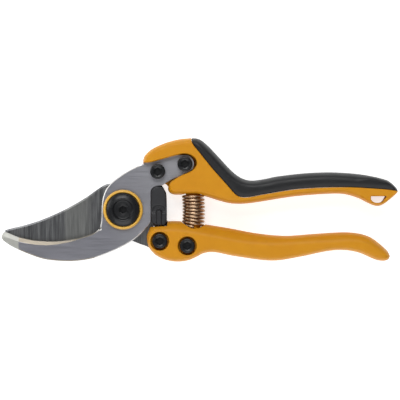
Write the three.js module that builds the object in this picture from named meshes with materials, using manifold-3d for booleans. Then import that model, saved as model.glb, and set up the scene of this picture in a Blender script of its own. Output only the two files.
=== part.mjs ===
// Bypass pruning shears with a safety catch, lying flat on their back, closed and locked.
// Millimetres. +X runs from the pivot to the handle ends, +Y is the side of the gripped handle,
// +Z is away from the surface that the shears lie on. The origin is on that surface, under the pivot.
import * as THREE from 'three';
import { mergeVertices } from 'three/addons/utils/BufferGeometryUtils.js';
import Module from 'manifold-3d';

// ---------------------------------------------------------------- driving dimensions

const HANDLE_THICKNESS = 17;
const HANDLE_EDGE = 1.3; // rounding of the moulded handles' edges
const MIDDLE = HANDLE_THICKNESS / 2; // the plane in which the two blades meet
const GAP = 0.3; // kept between pieces that touch
const RUNNING = 0.15; // radial play of a pin in its hole

const HOOK_LOW = MIDDLE + 0.1;
const HOOK_HIGH = HOOK_LOW + 4;
const HOOK_BEVEL = 1.3; // height of the bevel along the hook's concave edge
const CUTTER_HIGH = MIDDLE - 0.1;
const CUTTER_LOW = CUTTER_HIGH - 3.3;
const CUTTER_EDGE = 0.5; // thickness left at the sharpened edge

const BOLT_RADIUS = 4; // M8 pivot bolt
const BUSH_RADIUS = 5.6;
const BOLT_HEAD_RADIUS = 8.9;
const RING_RADIUS = 10.7;
const PIVOT_NUT_RADIUS = 8.2;
const PIVOT_NUT_TEETH = 12;
const WASHER_RADIUS = 8;
const CUTTER_HEEL_RADIUS = 14.6; // the cutting blade's round end behind the pivot

const SCREW_RADIUS = 2; // M4 handle screws
const SCREW_HEAD_RADIUS = 4.15;
const COUNTERBORE_RADIUS = 5;
const NUT_ACROSS_FLATS = 7;
const NUT_HEIGHT = 3;
const SOCKET_ACROSS_FLATS = 4; // hexagon socket in the bolt's and the screws' heads

const UPPER_SCREWS = { upper_screw_front: [18.7, 20.5], upper_screw_rear: [33.3, 24.6] };
const LOWER_SCREWS = { lower_screw_front: [19.8, -16.9], lower_screw_rear: [34.6, -19.4] };

const SPRING_X = 37.7;
const SPRING_OUTER_RADIUS = 6.15;
const SPRING_WIRE_RADIUS = 0.7;
const SPRING_TOP = 9.2;
const SPRING_FOOT = -9.8;
const SPRING_TURNS = 9.75;
const SPRING_PEG_RADIUS = 4;
const SPRING_SEAT_RADIUS = 6.65;

const CATCH_LOW = 2.5;
const CATCH_HIGH = 14.5;
const CATCH_PIN = [19.5, -9.9];
const CATCH_PIN_RADIUS = 1;
const CATCH_FOOT_RADIUS = 2.4;
const BLADE_CLEARANCE_RADIUS = 16.5; // nothing on the lower half comes closer to the pivot beside the hook

const DETENT_BALL_RADIUS = 1.3;
const DETENT_BALL_X = 24.1;
const DETENT_SPRING = { from: 25.7, to: 29.4, radius: 1.2, wire: 0.25, turns: 4 };

// ---------------------------------------------------------------- outlines, counter-clockwise

// A curve through the given points, as a list of [x, y].
function smooth(points, pieces) {
  const curve = new THREE.SplineCurve(points.map(([x, y]) => new THREE.Vector2(x, y)));
  return curve.getPoints(pieces).map(({ x, y }) => [x, y]);
}

// Part of a circle, as a list of [x, y]; angles in degrees, anticlockwise from +X.
function arc([centreX, centreY], radius, from, to, pieces) {
  return Array.from({ length: pieces + 1 }, (_, i) => {
    const angle = THREE.MathUtils.degToRad(from + ((to - from) * i) / pieces);
    return [centreX + radius * Math.cos(angle), centreY + radius * Math.sin(angle)];
  });
}

const PIVOT = [0, 0];
const HOOK_TAIL = UPPER_SCREWS.upper_screw_rear;

const hookBelly = smooth([
  [14.6, -6.9], [13.3, -8.7], [9.2, -13.2], [5.1, -16.6], [-1.1, -20.2], [-7.2, -23], [-13.7, -25.4],
  [-20.1, -26.9], [-28.7, -27.7], [-39, -27.1], [-44.9, -25.9], [-52.1, -23.3], [-56.9, -21.2],
  [-60.3, -19.5], [-63, -17.8], [-64.9, -16.3], [-65.5, -14.4], [-64.9, -13],
], 30);
const hookConcave = smooth([
  [-63.4, -12.1], [-59.3, -13.8], [-55.7, -15.1], [-47.3, -16.8], [-37.6, -17.2], [-28, -16.3],
  [-18.4, -13.8], [-14.3, -11.8],
], 14);
const hookNotch = arc([-12.9, -10.4], 1.1, 210, 420, 5);
const hookBack = smooth([
  [-11.7, -6.5], [-11.5, -4.3], [-11.5, 1.3], [-10.7, 6.9], [-8.7, 11.6], [-4.6, 15.9], [2.3, 20.6],
  [9.2, 24], [15.5, 26.5], [22.5, 28.4], [29.5, 29.4],
], 16);
const hookTail = arc(HOOK_TAIL, 4.8, 95, -55, 7);
const hookRear = smooth([[31.6, 18.5], [27.9, 17], [24.1, 15.1], [21.3, 13.3], [18, 12.8], [15.5, 11.4],
  [14.9, 9.5], [14.9, -5.2]], 12);
const hookUpper = [...hookConcave, ...hookNotch, ...hookBack, ...hookTail, ...hookRear];
const hookOutline = [...hookUpper, ...hookBelly].reverse();

const cutterSpine = smooth([
  [-64, -10.9], [-60.5, -10.1], [-53.3, -8.4], [-46.1, -6.2], [-37.6, -2.8], [-28.8, 1.5], [-20.1, 6.6],
  [-13.7, 11.1], [-9.5, 13.6], [-5, 14.3],
], 16);
const cutterCurve = [
  [-63, -12.9], [-59.3, -15], [-52.1, -18], [-42.5, -19.7], [-32.8, -19.7], [-25.3, -18.8],
  [-18.4, -17.4], [-12, -16.2], [-6, -15.9], [0, -16.2],
];
// Width of the sharpening bevel at each of those points.
const cutterGrind = [0.4, 1.8, 4.2, 6.2, 6.8, 6.6, 5.4, 3, 0.6, 0];
const cutterTang = smooth([
  [5.4, -17.1], [9.2, -18.6], [12.6, -19.8], [17, -22], [24, -23.2], [31, -24.1], [37, -24.3],
  [41, -22.4], [42.2, -19.3], [40.4, -16.2], [34.5, -14.6], [27, -13.6], [20, -13.4], [14.8, -12.6],
  [12.2, -9.8],
], 24);
const cutterHeel = arc(PIVOT, CUTTER_HEEL_RADIUS, -34, 100, 12);

function cutterOutline(grind) {
  const edge = cutterCurve.map(([x, y], i) => [x, y + cutterGrind[i] * grind]);
  return [...smooth(edge, 18), ...cutterTang, ...cutterHeel, ...cutterSpine.toReversed()];
}

const noseAndMouth = smooth([
  [36.3, 38.6], [29.9, 37.8], [23, 36], [15.8, 32.8], [11.8, 29.2], [10.6, 26.5], [12.4, 25],
  [20.1, 26.9], [29.1, 29.4], [32.6, 30], [37.4, 28.7], [39.4, 25], [37.4, 21.4], [31.6, 18.8],
  [25.8, 15.4], [24.1, 12.2], [25.2, 9.2], [28.5, 8],
], 34);
const noseAndBackWall = smooth([
  [36.3, 38.6], [29.9, 37.8], [23, 36], [15.8, 32.8], [11.8, 29.2], [10.6, 26], [11.3, 21.5],
  [14, 16.9], [18.5, 14.6], [23, 13.9], [24.1, 12.2], [25.2, 9.2], [28.5, 8],
], 30);
const upperUnderside = smooth([
  [33, 8], [42.2, 7.7], [51.8, 4.8], [57.1, 3.5], [62.4, 3.1], [68.5, 3.5], [76.1, 4.6], [91.3, 7],
  [106.4, 8.3], [118, 8.5], [126.3, 6.4], [132.5, 3.4], [136.7, 2], [140.4, 3], [146, 7.4], [148.4, 9.7],
], 30);
const gripOuter = smooth([
  [147.2, 12.2], [144.3, 14.7], [140.5, 16.6], [129.1, 19], [113.9, 20.1], [98.8, 19.7], [83.6, 18],
  [76.1, 16.5], [69.2, 15.7], [63.7, 17.1], [58.2, 21.2], [49.9, 30.1], [44.9, 35.2], [40.8, 38.2],
  [38, 38.7],
], 36);
const upperOutline = [...noseAndMouth, ...upperUnderside, ...gripOuter];
const upperBackOutline = [...noseAndBackWall, ...upperUnderside, ...gripOuter];

// Where the soft grip meets the hard body, from the handle's tip to the top of its head.
const gripSeam = smooth([
  [149.5, 10.2], [136.7, 11.2], [121.6, 12], [106.4, 11.8], [91.3, 10.7], [76.1, 8.2], [66.4, 6.6],
  [61, 7.8], [55.4, 13.8], [47.1, 23.2], [41.6, 30.1], [37.4, 35.6], [36, 40],
], 26);
const lanyardHole = [
  [133.5, 7.1],
  ...smooth([[133.5, 5.6], [134.8, 4.4], [137, 3.9], [139.2, 4.3], [141.2, 7.1]], 7),
];

const lowerOutline = smooth([
  [12.8, -14.3], [13.4, -11.6], [15, -9.2], [17.8, -7.6], [23.7, -6.2], [31.3, -6.1], [44.7, -7.9],
  [57.1, -10], [72.3, -12.8], [87.4, -14.1], [102.6, -13.1], [117.8, -12.2], [125.3, -12.6],
  [130.6, -13.8], [135.2, -16], [142, -21.7], [143.9, -25.2], [140.5, -27.6], [134.4, -26.3],
  [126.8, -23.1], [118.5, -21.8], [109.4, -22.5], [95, -25.5], [79.9, -27.5], [60.9, -25.2], [49.5, -23], [43.5, -23.5], [39.7, -25.4],
  [35.2, -27.3], [29.9, -28.1], [24.6, -27.5], [20.1, -26], [16.2, -23.5], [13.4, -19.5], [12.75, -15],
], 84).reverse();

const catchBack = [[22.6, -7.2], [23.4, -4.5], [23.5, -1.2], [23.4, 5.2]];
const catchFront = [[15.4, 9.2], [15.2, 4], [15.2, -3.6]];
const catchTop = smooth([[23.3, 8.6], [22.3, 11.1], [20, 12.2], [17.6, 12], [16, 10.9]], 9);
const catchFoot = arc(CATCH_PIN, CATCH_FOOT_RADIUS, 190, 350, 8);
const catchOutline = [...catchFoot, ...catchBack, ...catchTop, ...catchFront];

// ---------------------------------------------------------------- solids

const wasm = await Module();
wasm.setup();

function toSolid(geometry) {
  geometry.deleteAttribute('normal');
  geometry.deleteAttribute('uv');
  const merged = mergeVertices(geometry, 1e-4);
  return new wasm.Manifold(new wasm.Mesh({
    numProp: 3,
    vertProperties: new Float32Array(merged.attributes.position.array),
    triVerts: new Uint32Array(merged.index.array),
  }));
}

function toGeometry(solid) {
  const { vertProperties, triVerts } = solid.getMesh();
  const geometry = new THREE.BufferGeometry();
  geometry.setAttribute('position', new THREE.BufferAttribute(vertProperties, 3));
  geometry.setIndex(new THREE.BufferAttribute(triVerts, 1));
  geometry.computeVertexNormals();
  return geometry;
}

// A flat plate of the given outline from z = low to z = high, its edges rounded by edge.
function slab(outline, low, high, edge = 0) {
  const shape = new THREE.Shape(outline.map(([x, y]) => new THREE.Vector2(x, y)));
  const geometry = new THREE.ExtrudeGeometry(shape, {
    depth: high - low - 2 * edge,
    bevelEnabled: edge > 0,
    bevelThickness: edge,
    bevelSize: edge,
    bevelOffset: -edge,
    bevelSegments: 2,
  });
  return toSolid(geometry.translate(0, 0, low + edge));
}

// A solid whose outline changes from one height to the next; the outlines have equally many points.
function ruledSolid(levels) {
  const count = levels[0].outline.length;
  const positions = levels.flatMap(({ outline, z }) => outline.flatMap(([x, y]) => [x, y, z]));
  const index = [];
  for (let start = 0; start < (levels.length - 1) * count; start += count) {
    for (let i = 0; i < count; i++) {
      const here = start + i;
      const next = start + ((i + 1) % count);
      index.push(here, next, next + count, here, next + count, here + count);
    }
  }
  const caps = [{ level: 0, facing: -1 }, { level: levels.length - 1, facing: 1 }];
  for (const { level, facing } of caps) {
    const outline = levels[level].outline.map(([x, y]) => new THREE.Vector2(x, y));
    for (const [a, b, c] of THREE.ShapeUtils.triangulateShape(outline, [])) {
      const turn = outline[b].clone().sub(outline[a]).cross(outline[c].clone().sub(outline[a]));
      const corners = turn * facing > 0 ? [a, b, c] : [a, c, b];
      index.push(...corners.map((corner) => corner + level * count));
    }
  }
  const geometry = new THREE.BufferGeometry();
  geometry.setAttribute('position', new THREE.Float32BufferAttribute(positions, 3));
  geometry.setIndex(index);
  return toSolid(geometry);
}

// A cylinder, or a prism with few sides, standing along Z at [x, y].
function rod([x, y], radius, low, high, sides = 28) {
  const geometry = new THREE.CylinderGeometry(radius, radius, high - low, sides);
  return toSolid(geometry.rotateX(Math.PI / 2).translate(x, y, (low + high) / 2));
}

// A cylinder along Y, in the middle of the shears' thickness.
function uprightRod(x, radius, low, high) {
  const geometry = new THREE.CylinderGeometry(radius, radius, high - low, 24);
  return toSolid(geometry.translate(x, (low + high) / 2, MIDDLE));
}

// A body of revolution about a line along Z through [x, y], from a profile of [radius, z].
function turned([x, y], profile, sides = 40) {
  const points = profile.map(([radius, z]) => new THREE.Vector2(radius, z));
  const geometry = new THREE.LatheGeometry(points, sides).rotateX(Math.PI / 2).scale(1, -1, 1);
  const flipped = geometry.index.array;
  for (let i = 0; i < flipped.length; i += 3) {
    [flipped[i + 1], flipped[i + 2]] = [flipped[i + 2], flipped[i + 1]];
  }
  return toSolid(geometry.translate(x, y, 0));
}

// A coil of round wire round the line from one point to another.
class CoilCurve extends THREE.Curve {
  constructor(from, to, radius, turns) {
    super();
    Object.assign(this, { from, to, radius, turns });
    this.along = to.clone().sub(from).normalize();
    this.across = new THREE.Vector3(0, 0, 1);
    this.side = this.along.clone().cross(this.across);
  }

  getPoint(t, target = new THREE.Vector3()) {
    const angle = 2 * Math.PI * this.turns * t;
    return target.lerpVectors(this.from, this.to, t)
      .addScaledVector(this.across, this.radius * Math.cos(angle))
      .addScaledVector(this.side, this.radius * Math.sin(angle));
  }
}

function coil(from, to, radius, wire, turns, sides, stepsPerTurn) {
  const section = new THREE.Shape(
    arc([0, 0], wire, 0, 360 - 360 / sides, sides - 1).map(([x, y]) => new THREE.Vector2(x, y)),
  );
  return toSolid(new THREE.ExtrudeGeometry(section, {
    steps: Math.round(turns * stepsPerTurn),
    extrudePath: new CoilCurve(new THREE.Vector3(...from), new THREE.Vector3(...to), radius, turns),
  }));
}

function cut(solid, ...tools) {
  return tools.reduce((rest, tool) => rest.subtract(tool), solid);
}

const hexRadius = (acrossFlats) => acrossFlats / Math.sqrt(3);

// ---------------------------------------------------------------- blades

function hookBlade() {
  const bevel = hookConcave.map(([x, y], i) => [x, y - 2.2 * (1 - i / hookConcave.length)]);
  const bevelled = [...bevel, ...hookUpper.slice(hookConcave.length), ...hookBelly].reverse();
  const plate = ruledSolid([
    { outline: hookOutline, z: HOOK_LOW },
    { outline: hookOutline, z: HOOK_HIGH - HOOK_BEVEL },
    { outline: bevelled, z: HOOK_HIGH },
  ]);
  const screwHoles = Object.values(UPPER_SCREWS).map(
    (centre) => rod(centre, SCREW_RADIUS + GAP, HOOK_LOW - 1, HOOK_HIGH + 1),
  );
  const pivotHole = rod(PIVOT, BUSH_RADIUS + RUNNING, HOOK_LOW - 1, HOOK_HIGH + 1);
  return cut(plate, pivotHole, ...screwHoles);
}

function cuttingBlade() {
  const plate = ruledSolid([
    { outline: cutterOutline(1), z: CUTTER_LOW },
    { outline: cutterOutline(0), z: CUTTER_HIGH - CUTTER_EDGE },
    { outline: cutterOutline(0), z: CUTTER_HIGH },
  ]);
  const screwHoles = Object.values(LOWER_SCREWS).map(
    (centre) => rod(centre, SCREW_RADIUS + GAP, CUTTER_LOW - 1, CUTTER_HIGH + 1),
  );
  const pivotHole = rod(PIVOT, BUSH_RADIUS + RUNNING, CUTTER_LOW - 1, CUTTER_HIGH + 1);
  return cut(plate, pivotHole, ...screwHoles);
}

// ---------------------------------------------------------------- pivot

const RING_LOW = HOOK_HIGH + GAP;
const RING_FLANGE = RING_LOW + 0.6; // the flange that the bolt head clamps
const BOLT_HEAD_LOW = RING_FLANGE + GAP;
const BOLT_HEAD_HIGH = HANDLE_THICKNESS;
const PIVOT_NUT_HIGH = 3.6;
const WASHER_LOW = PIVOT_NUT_HIGH + GAP;
const WASHER_HIGH = CUTTER_LOW - GAP;

function pivotBolt() {
  const bolt = turned(PIVOT, [
    [0, 1.4], [BOLT_RADIUS, 1.4], [BOLT_RADIUS, BOLT_HEAD_LOW], [BOLT_HEAD_RADIUS, BOLT_HEAD_LOW],
    [BOLT_HEAD_RADIUS, BOLT_HEAD_HIGH - 1.2], [BOLT_HEAD_RADIUS - 0.5, BOLT_HEAD_HIGH - 0.4],
    [BOLT_HEAD_RADIUS - 1.4, BOLT_HEAD_HIGH], [BOLT_HEAD_RADIUS - 2.3, BOLT_HEAD_HIGH - 0.5],
    [5.6, BOLT_HEAD_HIGH - 1.3], [5.2, BOLT_HEAD_HIGH - 1.8], [0, BOLT_HEAD_HIGH - 1.8],
  ]);
  const socket = rod(PIVOT, hexRadius(SOCKET_ACROSS_FLATS), BOLT_HEAD_LOW - 1.5, BOLT_HEAD_HIGH, 6);
  return cut(bolt, socket);
}

function pivotRing() {
  const inside = BOLT_HEAD_RADIUS + GAP;
  return turned(PIVOT, [
    [BOLT_RADIUS + GAP, RING_LOW], [RING_RADIUS, RING_LOW], [RING_RADIUS, RING_LOW + 1.7],
    [RING_RADIUS - 0.5, RING_LOW + 2.3], [inside + 0.3, RING_LOW + 2.3], [inside, RING_LOW + 2],
    [inside, RING_FLANGE], [BOLT_RADIUS + GAP, RING_FLANGE], [BOLT_RADIUS + GAP, RING_LOW],
  ]);
}

function pivotBush() {
  const bore = BOLT_RADIUS + RUNNING;
  return turned(PIVOT, [
    [bore, CUTTER_LOW], [BUSH_RADIUS, CUTTER_LOW], [BUSH_RADIUS, HOOK_HIGH], [bore, HOOK_HIGH],
    [bore, CUTTER_LOW],
  ], 32);
}

function pivotWasher() {
  const bore = BOLT_RADIUS + GAP;
  return turned(PIVOT, [
    [bore, WASHER_LOW], [WASHER_RADIUS, WASHER_LOW], [WASHER_RADIUS, WASHER_HIGH], [bore, WASHER_HIGH],
    [bore, WASHER_LOW],
  ], 32);
}

// The closed adjusting nut under the blades, with teeth round its rim.
function pivotNut() {
  const body = turned(PIVOT, [
    [0, 0], [PIVOT_NUT_RADIUS - 0.6, 0], [PIVOT_NUT_RADIUS, 0.6], [PIVOT_NUT_RADIUS, PIVOT_NUT_HIGH],
    [0, PIVOT_NUT_HIGH],
  ], 36);
  const notchCentres = arc(PIVOT, PIVOT_NUT_RADIUS + 0.5, 0, 360, PIVOT_NUT_TEETH).slice(1);
  const notches = notchCentres.map((centre) => rod(centre, 0.9, -1, PIVOT_NUT_HIGH + 1, 8));
  return cut(body, rod(PIVOT, BOLT_RADIUS + GAP, 1.1, PIVOT_NUT_HIGH + 1, 32), ...notches);
}

// ---------------------------------------------------------------- upper handle

const NUT_POCKET = NUT_HEIGHT + 0.4 + GAP;

function nutPocketAndHole([x, y]) {
  const pocket = rod([x, y], hexRadius(NUT_ACROSS_FLATS + 2 * GAP), -1, NUT_POCKET, 6);
  const hole = rod([x, y], SCREW_RADIUS + GAP, 0, HANDLE_THICKNESS + 1);
  return [pocket, hole];
}

// The moulded handle with its open mouth in front of the hook's tang and its whole wall behind it.
function upperHandle() {
  const front = slab(upperOutline, 0, HANDLE_THICKNESS, HANDLE_EDGE);
  const backWall = slab(upperBackOutline, 0, HANDLE_THICKNESS, HANDLE_EDGE);
  const behindTang = slab([[0, 0], [60, 0], [60, 50], [0, 50]], -1, HOOK_LOW - GAP);
  const whole = front.add(backWall.intersect(behindTang));
  const tangSlot = slab([
    [5, 8], [14.7, 8], [14.7, 11], [17.6, 12.5], [21.4, 12.9], [24.3, 14.7], [28.1, 16.6],
    ...arc(HOOK_TAIL, 5.1, -62, 95, 9), [22.4, 28.8], [15.4, 26.9], [9, 24.4], [5, 22],
  ], HOOK_LOW - GAP, HOOK_HIGH + GAP);
  const holes = Object.values(UPPER_SCREWS).flatMap(nutPocketAndHole);
  const lanyard = slab(lanyardHole, -1, HANDLE_THICKNESS + 1);
  const springSeat = uprightRod(SPRING_X, SPRING_SEAT_RADIUS, 0, SPRING_TOP + GAP);
  const peg = uprightRod(SPRING_X, SPRING_PEG_RADIUS, SPRING_TOP - 4, SPRING_TOP + 1);
  return cut(whole, tangSlot, springSeat, lanyard, ...holes).add(peg);
}

const hardSide = slab([...gripSeam, [-5, 60], [-5, -5], [149.5, -5]], -1, HANDLE_THICKNESS + 1);
const softSide = slab(
  [...gripSeam.map(([x, y]) => [x + GAP * 0.4, y + GAP]), [60, 60], [160, 60], [160, 10.5]].reverse(),
  -1, HANDLE_THICKNESS + 1,
);

// ---------------------------------------------------------------- lower handle

function lowerHandle() {
  const body = slab(lowerOutline, 0, HANDLE_THICKNESS, HANDLE_EDGE);
  const tangSlot = slab([
    [5, -16.7], [9.3, -18.2], [12.8, -20.2], [17, -22.4], [24, -23.6], [31, -24.5], [37.1, -24.7],
    [41.4, -22.6], [42.6, -19.3], [40.7, -15.9], [34.6, -14.2], [27, -13.2], [20, -13],
    [15, -12.2], [12, -9.4], [5, -9],
  ], CUTTER_LOW - GAP, CUTTER_HIGH + GAP);
  const counterbores = Object.values(LOWER_SCREWS).map(
    (centre) => rod(centre, COUNTERBORE_RADIUS, HOOK_HIGH, HANDLE_THICKNESS + 1, 32),
  );
  const holes = Object.values(LOWER_SCREWS).flatMap(nutPocketAndHole);
  const springCup = uprightRod(SPRING_X, SPRING_SEAT_RADIUS, SPRING_FOOT - GAP, 0);
  const peg = uprightRod(SPRING_X, SPRING_PEG_RADIUS, SPRING_FOOT - 1, SPRING_FOOT + 4);
  const catchSlot = slab([
    ...arc(CATCH_PIN, CATCH_FOOT_RADIUS + 0.45, 180, 355, 8), [23.5, -8.2], [24.8, -5], [24.8, 0],
    [10, 0], [10, -7], [15.8, -7.7],
  ], CATCH_LOW - GAP, CATCH_HIGH + GAP);
  const ribGroove = slab(
    [[17, -8.8], [21.8, -8.8], [21.8, 0], [17, 0]],
    CATCH_HIGH - 1, HANDLE_THICKNESS + 1,
  );
  const pinHole = rod(CATCH_PIN, CATCH_PIN_RADIUS + RUNNING, 1.2, HANDLE_THICKNESS - 1.2, 20);
  const detentBore = toSolid(
    new THREE.CylinderGeometry(DETENT_BALL_RADIUS + 0.2, DETENT_BALL_RADIUS + 0.2, 8, 20)
      .rotateZ(Math.PI / 2).translate(DETENT_SPRING.to + GAP - 4, CATCH_PIN[1], MIDDLE),
  );
  const tools = [springCup, tangSlot, catchSlot, ribGroove, pinHole, detentBore, ...counterbores, ...holes];
  return cut(body, ...tools).add(peg);
}

// ---------------------------------------------------------------- fasteners, spring and catch

function handleScrew(centre) {
  const seat = HOOK_HIGH + GAP;
  const top = seat + 3.6;
  const [x, y] = centre;
  const body = turned([x, y], [
    [0, 0.7], [SCREW_RADIUS, 0.7], [SCREW_RADIUS, seat], [SCREW_HEAD_RADIUS, seat],
    [SCREW_HEAD_RADIUS, top - 0.5], [SCREW_HEAD_RADIUS - 0.5, top], [0, top],
  ], 28);
  return cut(body, rod(centre, hexRadius(SOCKET_ACROSS_FLATS), top - 2.2, top + 1, 6));
}

function handleNut(centre) {
  const blank = rod(centre, hexRadius(NUT_ACROSS_FLATS), 0.4, 0.4 + NUT_HEIGHT, 6);
  return cut(blank, rod(centre, SCREW_RADIUS + RUNNING, 0, NUT_POCKET + 1, 20));
}

function handleSpring() {
  const wireCentre = SPRING_OUTER_RADIUS - SPRING_WIRE_RADIUS;
  const foot = [SPRING_X, SPRING_FOOT + SPRING_WIRE_RADIUS, MIDDLE];
  const top = [SPRING_X, SPRING_TOP - SPRING_WIRE_RADIUS, MIDDLE];
  return coil(foot, top, wireCentre, SPRING_WIRE_RADIUS, SPRING_TURNS, 6, 14);
}

function lockCatch() {
  const body = slab(catchOutline, CATCH_LOW, CATCH_HIGH, 0.8);
  const bladeRoom = rod(PIVOT, BLADE_CLEARANCE_RADIUS, CUTTER_LOW - GAP, HOOK_HIGH + GAP, 60);
  const rib = slab([
    [17.8, -8.2], [20.9, -8.2], ...arc([19.35, -1.6], 1.55, 0, 180, 6),
  ], CATCH_HIGH - 2, CATCH_HIGH + 1.2);
  const scoop = turned(
    [19.3, 0.9],
    [[0, CATCH_HIGH - 0.9], [2.6, CATCH_HIGH + 0.6], [0, CATCH_HIGH + 0.6]],
    20,
  );
  const pinHole = rod(CATCH_PIN, CATCH_PIN_RADIUS + RUNNING, 0, HANDLE_THICKNESS, 20);
  return cut(body.subtract(scoop).add(rib), bladeRoom, pinHole);
}

function detentSpring() {
  const { from, to, radius, wire, turns } = DETENT_SPRING;
  const y = CATCH_PIN[1];
  return coil([from + wire, y, MIDDLE], [to - wire, y, MIDDLE], radius - wire, wire, turns, 4, 9);
}

function detentBall() {
  const geometry = new THREE.SphereGeometry(DETENT_BALL_RADIUS, 16, 10);
  return toSolid(geometry.translate(DETENT_BALL_X, CATCH_PIN[1], MIDDLE));
}

// ---------------------------------------------------------------- materials

function finish(color, roughness, metalness) {
  return new THREE.MeshStandardMaterial({ color, roughness, metalness });
}

const brushedSteel = finish(0xb4b6ba, 0.38, 1);
const groundBladeSteel = finish(0x8c8e90, 0.3, 1);
const blackSteel = finish(0x26272a, 0.45, 0.6);
const bronze = finish(0xa8733a, 0.4, 1);
const springSteel = finish(0xa07c58, 0.35, 1);
const zincSteel = finish(0xa9abad, 0.4, 1);
const yellowNylon = finish(0xd9942a, 0.45, 0);
const yellowRing = finish(0xdda63e, 0.4, 0);
const blackRubber = finish(0x2c2e30, 0.75, 0);
const blackNylon = finish(0x303134, 0.55, 0);

// ---------------------------------------------------------------- the shears

const shears = new THREE.Group();

function place(name, solid, material) {
  const mesh = new THREE.Mesh(toGeometry(solid), material);
  mesh.name = name;
  shears.add(mesh);
}

place('hook_blade', hookBlade(), brushedSteel);
place('cutting_blade', cuttingBlade(), groundBladeSteel);

place('pivot_bolt', pivotBolt(), blackSteel);
place('pivot_ring', pivotRing(), yellowRing);
place('pivot_bush', pivotBush(), bronze);
place('pivot_washer', pivotWasher(), zincSteel);
place('pivot_nut', pivotNut(), blackSteel);

const wholeUpperHandle = upperHandle();
place('upper_handle_body', wholeUpperHandle.intersect(hardSide), yellowNylon);
place('upper_handle_grip', wholeUpperHandle.intersect(softSide), blackRubber);
place('lower_handle_body', lowerHandle(), yellowNylon);

for (const [name, centre] of Object.entries({ ...UPPER_SCREWS, ...LOWER_SCREWS })) {
  place(name, handleScrew(centre), blackSteel);
  place(name.replace('screw', 'nut'), handleNut(centre), zincSteel);
}

place('handle_spring', handleSpring(), springSteel);
place('lock_catch', lockCatch(), blackNylon);
place('catch_pin', rod(CATCH_PIN, CATCH_PIN_RADIUS, 1.5, HANDLE_THICKNESS - 1.5, 20), zincSteel);
place('detent_ball', detentBall(), zincSteel);
place('detent_spring', detentSpring(), springSteel);

export default shears;
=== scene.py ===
import bpy
import numpy as np
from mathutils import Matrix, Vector
from mathutils.geometry import delaunay_2d_cdt


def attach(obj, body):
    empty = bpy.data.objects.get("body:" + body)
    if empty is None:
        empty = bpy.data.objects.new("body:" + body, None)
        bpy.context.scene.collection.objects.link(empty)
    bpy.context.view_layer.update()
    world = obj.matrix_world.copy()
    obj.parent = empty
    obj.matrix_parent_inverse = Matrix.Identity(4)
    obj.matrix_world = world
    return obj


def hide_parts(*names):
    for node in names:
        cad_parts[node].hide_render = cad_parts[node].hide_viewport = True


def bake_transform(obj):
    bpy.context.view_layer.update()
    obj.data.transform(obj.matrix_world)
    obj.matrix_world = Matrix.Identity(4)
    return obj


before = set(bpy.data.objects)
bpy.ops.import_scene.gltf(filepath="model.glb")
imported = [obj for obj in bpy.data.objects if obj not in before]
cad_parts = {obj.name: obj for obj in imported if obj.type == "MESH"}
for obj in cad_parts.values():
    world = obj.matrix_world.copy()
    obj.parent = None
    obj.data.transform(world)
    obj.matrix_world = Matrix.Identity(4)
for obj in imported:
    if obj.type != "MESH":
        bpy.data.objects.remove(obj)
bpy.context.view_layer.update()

# ---------------------------------------------------------------- the hook
# The hook is one plate of tool steel, 4 mm thick: a curved hook, a round pivot plate and a tang that is
# screwed into the upper handle. It is blanked, ground flat, and its concave edge is ground to a bevel.

MM = 0.001  # all sizes below are in millimetres
PARTING = 8.5  # height of the plane in which the two blades meet

HOOK_LOW = PARTING + 0.1
HOOK_HIGH = HOOK_LOW + 4
HOOK_CHAMFER = 0.5  # broken edge round the hook, which narrows to TANG_CHAMFER over TANG_X
TANG_CHAMFER = 0.12
TANG_X = (6, 12)
HOOK_BEVEL = 2.2  # width of the ground bevel near the hook's tip
HOOK_BEVEL_SLOPE = 0.6
NOTCH = (-12.7, -10.3)  # a small hole, countersunk to NOTCH_RIM, at the corner between hook and pivot plate
NOTCH_RIM = 1.2
TIP_FACET = np.array([[-56.4, -16.2], [-55.9, -24]])  # line at which the tip's flat starts
TIP_FACET_SLOPE = 0.13

BUSH_RADIUS = 5.6
SCREW_RADIUS = 2
UPPER_SCREWS = {"front": (18.7, 20.5), "rear": (33.3, 24.6)}


def curve(points, step=0.7):
    """Points a step apart on the smooth curve through the given ones.

    Between two points it is the cubic that leaves each of them parallel to the line that joins its two
    neighbours; an end point is its own neighbour.
    """
    points = np.array(points, float)
    padded = np.vstack([points[:1], points, points[-1:]])
    p0, p1, p2, p3 = (padded[i:len(padded) - 3 + i, None] for i in range(4))
    t = np.linspace(0, 1, 24, endpoint=False)[:, None]
    cubic = p1 + (p2 - p0) * t / 2 + (2 * p0 - 5 * p1 + 4 * p2 - p3) * t**2 / 2
    cubic = cubic + (3 * p1 - p0 - 3 * p2 + p3) * t**3 / 2
    fine = np.vstack([cubic.reshape(-1, 2), points[-1:]])
    travelled = np.append(0, np.cumsum(np.hypot(*np.diff(fine, axis=0).T)))
    places = np.linspace(0, travelled[-1], max(2, round(travelled[-1] / step) + 1))
    return np.column_stack([np.interp(places, travelled, axis) for axis in fine.T])


def arc(centre, radius, start, end, step=0.5):
    """Points a step apart on part of a circle: the centre plus the radius at angles in degrees."""
    count = max(4, round(abs(np.radians(end - start)) * radius / step) + 1)
    angle = np.radians(np.linspace(start, end, count))
    return np.array(centre) + radius * np.column_stack([np.cos(angle), np.sin(angle)])


def circle(centre, radius, step=0.5):
    """A whole circle as an outline, without its first point again at the end."""
    return arc(centre, radius, 0, 360, step)[:-1]


def ring(outline):
    """A closed outline as a line that comes back to its first point."""
    return np.vstack([outline, outline[:1]])


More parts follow.
